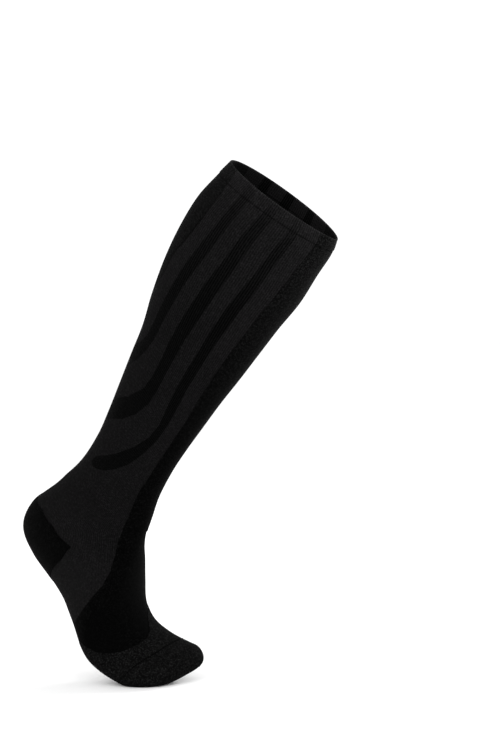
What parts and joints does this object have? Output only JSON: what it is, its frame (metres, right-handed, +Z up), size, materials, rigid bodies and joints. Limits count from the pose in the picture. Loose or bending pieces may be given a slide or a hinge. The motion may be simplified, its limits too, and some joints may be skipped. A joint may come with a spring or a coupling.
{
  "type": "knee-high compression stocking, one, in its worn hollow form",
  "caption": "Tall closed-toe knit tube, leaning leg, raised heel, resting toes, open at the top; grips and supports the lower leg.",
  "frame": {"origin": "middle of the top opening, where the wearer's leg enters and holds it", "axes": "+Z up, +X forward to the toes, +Y to the inner side of the leg"},
  "size_m": [0.3405, 0.1204, 0.5184],
  "materials": {
    "welt_knit": "matte turned double knit, grey heather",
    "leg_knit": "matte fine rib, grey heather with darker bands",
    "heel_knit": "matte dense knit, black",
    "foot_knit": "matte knit, grey sides with a black front panel",
    "toe_knit": "matte knit, black heather"
  },
  "bodies": {
    "root": {"welt": "welt_knit", "calf_front": "leg_knit", "calf_back": "leg_knit", "shank_front": "leg_knit", "shank_back": "leg_knit", "heel_pocket": "heel_knit", "foot": "foot_knit", "toe_top": "toe_knit", "toe_sole": "toe_knit"}
  },
  "joints": []
}
